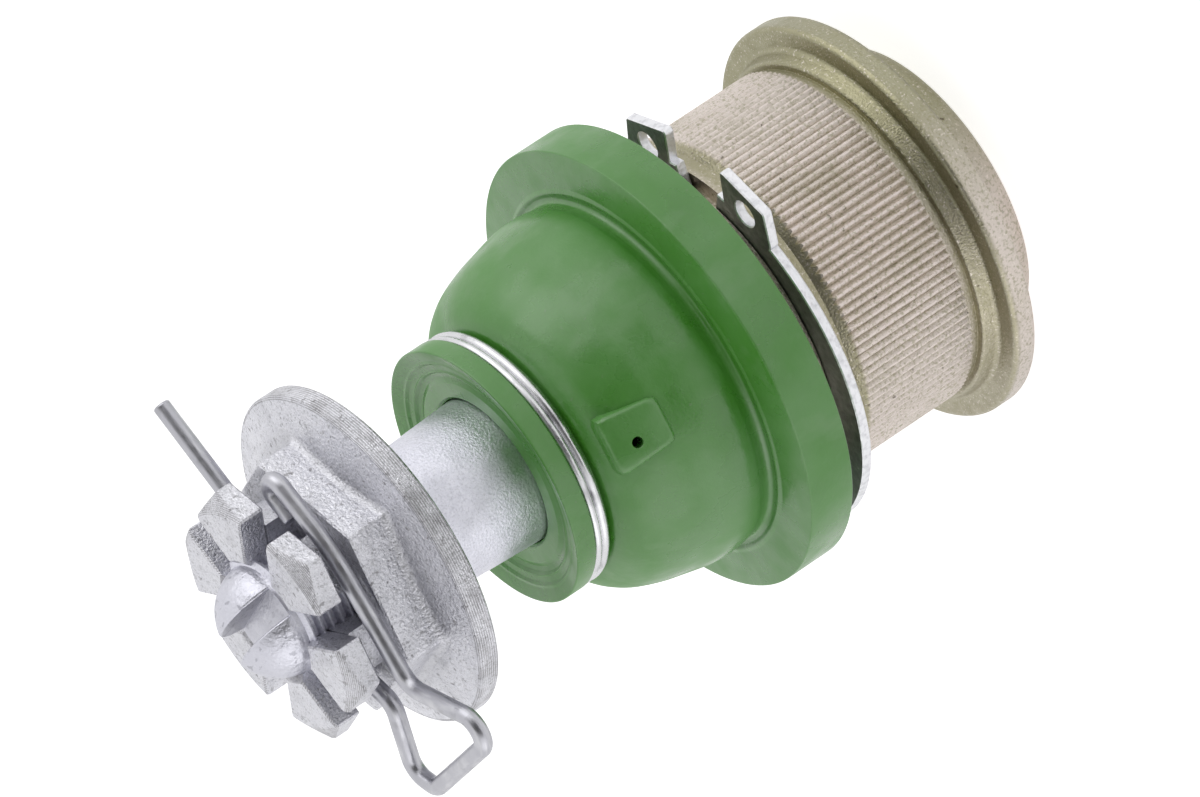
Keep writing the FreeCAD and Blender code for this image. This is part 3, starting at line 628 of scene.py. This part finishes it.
class BALLJOINT_OT_boot(bpy.types.Operator):
    """Mould the rubber boot in two closed halves, and its vent pad"""
    bl_idname = "balljoint.boot"
    bl_label = "Rubber boot"

    def execute(self, context):
        looks = context.scene.ball_joint_boot
        rubber = moulded_rubber(looks)
        stand = (Matrix.Rotation(math.radians(PAD_ANGLE + 90), 4, "Z")
                 @ Matrix.Translation(Vector((0, -PAD_RADIUS, PAD_LEVEL)) * MM)
                 @ Matrix.Rotation(math.radians(PAD_TILT), 4, "X"))
        below, above = self.outlines(looks)
        lower = finished("boot_lower", spun(below, looks.steps), rubber)
        self.place(lower, "housing", "boot", BEND_START, BOOT_SPLIT)
        upper = finished("boot_upper", spun(above, looks.steps), rubber)
        drilled(upper, self.drill(looks.vent_radius * DRILL_ROOM, stand, rubber))
        self.place(upper, "boot", "boot_neck", BOOT_SPLIT, BEND_END)
        # Painted light: a paler copy of the rubber for the vent pad
        wear_and_painted_light = moulded_rubber(looks, "pale_pad_rubber", PAD_PAINTED_LIGHT)
        pad = finished("vent_pad", self.pad(looks.vent_radius / MM), wear_and_painted_light)
        pad.data.transform(stand)
        self.place(pad, "boot", "boot_neck", BOOT_SPLIT, BEND_END)
        return {"FINISHED"}

    def outlines(self, looks):
        """Closed outlines of the lower and the upper half, in millimetres."""
        flange = looks.flange_radius / MM
        front = BOOT_BACK + looks.flange_height / MM
        bulge = looks.bulge_radius / MM
        neck = looks.neck_radius / MM
        lip = looks.lip_radius / MM
        fold = (25.05, front + 1.6)
        outer_split = (24.66, BOOT_SPLIT)
        collar = (18.3, 68.75)
        mouth = (11.20, 69.4)
        inner_split = (22.4, BOOT_SPLIT)
        base = rounded([
            (22.8, BOOT_BACK, 0), (flange, BOOT_BACK, 0.25), (flange, front, 0.2), (27.15, front + 0.42, 0.8),
            (26.55, front + 0.70, 0.45), (26.0, front + 0.46, 0.5), (25.15, front + 0.50, 0.6), (*fold, 0)])
        below = [fold, (25.22, front + 2.15), (25.42, front + 2.7), (25.55, front + 3.5), (bulge, 52.4),
                 (25.55, 54.0), (25.3, 55.7), outer_split]
        above = [(24.0, 61.2), (22.9, 64.2), (21.75, 66.1), (20.75, 67.2), (19.6, 68.1), collar]
        dome = flowing(below + above, DOME_STEPS)
        cut = (len(below) - 1) * DOME_STEPS
        wall = [mouth, (14.0, 68.6), (16.6, 66.9), (20.4, 63.0), inner_split, (22.9, 55.6), (23.0, 53.0),
                (22.3, 50.4), (20.8, 48.0)]
        inside = flowing(wall, WALL_STEPS)
        inner_cut = wall.index(inner_split) * WALL_STEPS
        throat = [Vector((20.8, 45.55)), Vector((22.8, 45.55))]
        crown = rounded([
            (*collar, 0), (neck, 68.95, 0.25), (neck, 72.0, 0.15), (lip, 72.0, 0.3), (lip, 75.25, 0.2),
            (16.9, 74.5, 0.5), (16.5, 74.55, 0.12), (16.15, 74.2, 0.2), (15.35, 74.05, 0.2),
            (15.1, 74.25, 0.08), (14.75, 73.8, 0.15), (14.1, 73.6, 0.3), (13.4, 73.95, 0.4),
            (11.2, 73.9, 0.35), (10.80, 73.5, 0.15), (*mouth, 0)])
        lower = base + dome[1:cut + 1] + inside[inner_cut:] + throat
        upper = dome[cut:] + crown[1:] + inside[1:inner_cut + 1]
        return lower, upper

    def drill(self, radius, stand, rubber):
        """A rod through the dome where the vent hole comes."""
        form = bmesh.new()
        bmesh.ops.create_cone(form, cap_ends=True, segments=24, radius1=radius, radius2=radius,
                              depth=DRILL_LENGTH * MM, matrix=stand @ Matrix.Translation(VENT_MIDDLE * MM))
        return finished("drill", form, rubber)

    def pad(self, vent):
        """A block with soft edges and a vent hole, its top in z = 0. It widens towards the neck, at +Y."""
        form = bmesh.new()
        rings = [loop(form, 3.95, 4.6, PAD_BACK, 8), loop(form, 3.80, 4.45, -1.2, 9),
                 loop(form, 3.72, 4.35, -0.7, 9), loop(form, 3.56, 4.18, -0.28, 9),
                 loop(form, 3.30, 3.90, -0.06, 8), loop(form, 3.0, 3.6, 0.0, 7)]
        for vertex in form.verts:
            vertex.co.x *= 1 + vertex.co.y / MM * PAD_WIDENING
        for radius, level in ((vent + 0.5, 0.0), (vent + 0.05, 0.0), (vent, -0.05), (vent, PAD_BACK)):
            rings.append(loop(form, radius, radius, level, 2, VENT_MIDDLE.xy))
        skin(form, rings)
        return form

    def place(self, piece, first, second, start, end):
        """Bakes the piece's placement into its mesh and hides the carried-over boot. The two bodies and the
        start and end levels are not used.
        """
        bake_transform(piece)
        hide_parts("dust_boot")


class BALLJOINT_OT_rings(bpy.types.Operator):
    """Give the neck wire and the snap ring their finishes"""
    bl_idname = "balljoint.rings"
    bl_label = "Rings"

    def execute(self, context):
        dress("boot_neck_ring", drawn_wire("bright_wire", BRIGHT_WIRE, 0.26))
        dress("snap_ring", stamped_ring(context.scene.ball_joint_nut))
        return {"FINISHED"}


class BALLJOINT_OT_stud(bpy.types.Operator):
    """Finish the stud and wind the thread's ridge round it"""
    bl_idname = "balljoint.stud"
    bl_label = "Ball stud"

    def execute(self, context):
        looks = context.scene.ball_joint_stud
        zinc = blasted_zinc(looks)
        dress("ball_stud", zinc)
        form = bmesh.new()
        half = looks.thread_pitch / 2
        flat = looks.thread_pitch / 12
        ridge = [(looks.thread_root, -half + flat), (looks.thread_radius, -flat), (looks.thread_radius, flat),
                 (looks.thread_root, half - flat)]
        corners = [form.verts.new((r, 0, looks.thread_start + z)) for r, z in ridge]
        start = form.faces.new(corners)
        turns = looks.thread_turns
        rise = looks.thread_pitch / THREAD_STEPS
        bmesh.ops.spin(form, geom=[start], cent=(0, 0, 0), axis=(0, 0, 1), angle=FULL_TURN * turns,
                       steps=THREAD_STEPS * turns, dvec=(0, 0, rise))
        for vertex in form.verts:
            side, level = vertex.co.y / MM, vertex.co.z / MM - CROSS_HOLE_LEVEL
            if math.hypot(side, level) < CROSS_HOLE_RADIUS:
                vertex.co.xy *= (looks.thread_root - THREAD_SINK * MM) / vertex.co.xy.length
        thread = finished("stud_thread", form, zinc, THREAD_HARD_EDGE)
        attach(thread, "stud")
        return {"FINISHED"}


class BALLJOINT_OT_nut(bpy.types.Operator):
    """Finish the castle nut and the spring clip"""
    bl_idname = "balljoint.nut"
    bl_label = "Castle nut and clip"

    def execute(self, context):
        looks = context.scene.ball_joint_nut
        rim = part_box("castle_nut")[1].x
        dress("castle_nut", forged_zinc(looks, rim - NUT_RIM_DEPTH))
        dress("spring_clip", drawn_wire("galvanised_wire", looks.wire, 0.33))
        return {"FINISHED"}


class BALLJOINT_OT_stage(bpy.types.Operator):
    """Set the pale floor, the lamps, the sky and the camera"""
    bl_idname = "balljoint.stage"
    bl_label = "Stage"

    def execute(self, context):
        looks = context.scene.ball_joint_stage
        self.floor(looks)
        self.sky(context.scene, looks)
        self.lamp("key_lamp", KEY_SIDE, KEY_SIZE, looks.key_power)
        self.lamp("fill_lamp", FILL_SIDE, FILL_SIZE, looks.fill_power)
        self.camera(context.scene, looks)
        context.scene.view_settings.view_transform = "Standard"
        return {"FINISHED"}

    def floor(self, looks):
        """A wide pale floor that looks brighter to the camera and in the shiny metal."""
        form = bmesh.new()
        bmesh.ops.create_grid(form, x_segments=2, y_segments=2, size=looks.floor_size / 2)
        finish = Finish("pale_floor", looks.floor, 0.0, 0.9)
        finish.shader.inputs["Specular IOR Level"].default_value = 0.1
        ray = finish.add("ShaderNodeLightPath").outputs
        glow = finish.add("ShaderNodeEmission")
        glow.inputs["Color"].default_value = (1, 1, 1, 1)
        seen = finish.times(ray["Is Camera Ray"], FLOOR_SEEN)
        mirrored = finish.times(ray["Is Glossy Ray"], FLOOR_MIRRORED)
        finish.put(finish.math("ADD", seen, mirrored), glow.inputs["Strength"])
        both = finish.add("ShaderNodeAddShader")
        finish.put(finish.shader.outputs["BSDF"], both.inputs[0])
        finish.put(glow.outputs["Emission"], both.inputs[1])
        finish.put(both.outputs["Shader"], finish.tree.nodes["Material Output"].inputs["Surface"])
        finished("floor", form, finish.material)

    def sky(self, scene, looks):
        """White behind the part, with the room darker on the camera's side."""
        scene.world = bpy.data.worlds.new("studio")
        sky = Nodes(scene.world)
        way = sky.add("ShaderNodeVectorMath", operation="DOT_PRODUCT")
        sky.put(sky.add("ShaderNodeTexCoord").outputs["Generated"], way.inputs[0])
        way.inputs[1].default_value = DARK_SIDE
        room = sky.span(way.outputs["Value"], *DARK_EDGE, 1.0, 1 - looks.shade, "SMOOTHSTEP")
        ray = sky.add("ShaderNodeLightPath").outputs
        shown = sky.times(room, sky.span(ray["Is Glossy Ray"], 0, 1, looks.sky, 1.0))
        plain = sky.math("MAXIMUM", ray["Is Camera Ray"], ray["Is Transmission Ray"])
        sky.put(sky.math("MAXIMUM", plain, shown), sky.tree.nodes["Background"].inputs["Strength"])
        sky.tree.nodes["Background"].inputs["Color"].default_value = (1, 1, 1, 1)

    def lamp(self, name, side, size, power):
        """A square lamp on that side of the part, turned towards it."""
        light = bpy.data.lights.new(name, "AREA")
        light.energy = power
        light.size = size
        lamp = bpy.data.objects.new(name, light)
        lamp.location = AIM + side.normalized() * LAMP_DISTANCE
        lamp.rotation_mode = "QUATERNION"
        lamp.rotation_quaternion = (-side).to_track_quat("-Z", "Y")
        bpy.context.scene.collection.objects.link(lamp)

    def camera(self, scene, looks):
        """The photograph's own viewpoint, with the stud pointing down to the left."""
        data = bpy.data.cameras.new("camera")
        data.lens = looks.focal_length
        data.sensor_width = SENSOR_WIDTH
        data.clip_end = CAMERA_REACH
        camera = bpy.data.objects.new("camera", data)
        turn = Matrix((CAMERA_RIGHT, CAMERA_UP, CAMERA_RIGHT.cross(CAMERA_UP))).transposed().to_4x4()
        camera.matrix_world = Matrix.Translation(CAMERA_PLACE) @ turn
        scene.collection.objects.link(camera)
        scene.camera = camera


class BALLJOINT_PT_pieces(bpy.types.Panel):
    """Lists the pieces of the ball joint and their settings"""
    bl_label = "Ball Joint"
    bl_idname = "BALLJOINT_PT_pieces"
    bl_space_type = "VIEW_3D"
    bl_region_type = "UI"
    bl_category = "Ball Joint"

    def draw(self, context):
        for operator in OPERATORS:
            self.layout.operator(operator.bl_idname)
        for name, group in LOOKS.items():
            box = self.layout.box()
            box.label(text=group.__doc__)
            for key in group.__annotations__:
                box.prop(getattr(context.scene, name), key)


OPERATORS = (BALLJOINT_OT_housing, BALLJOINT_OT_boot, BALLJOINT_OT_rings, BALLJOINT_OT_stud, BALLJOINT_OT_nut,
             BALLJOINT_OT_stage)


def register():
    for group in (*LOOKS.values(), *OPERATORS, BALLJOINT_PT_pieces):
        bpy.utils.register_class(group)
    for name, group in LOOKS.items():
        setattr(bpy.types.Scene, name, PointerProperty(type=group))


def unregister():
    for name in LOOKS:
        delattr(bpy.types.Scene, name)
    for group in (BALLJOINT_PT_pieces, *reversed(OPERATORS), *reversed(list(LOOKS.values()))):
        bpy.utils.unregister_class(group)


def main():
    register()
    bpy.ops.balljoint.housing()
    bpy.ops.balljoint.boot()
    bpy.ops.balljoint.rings()
    bpy.ops.balljoint.stud()
    bpy.ops.balljoint.nut()
    bpy.ops.balljoint.stage()


if __name__ == "__main__":
    main()
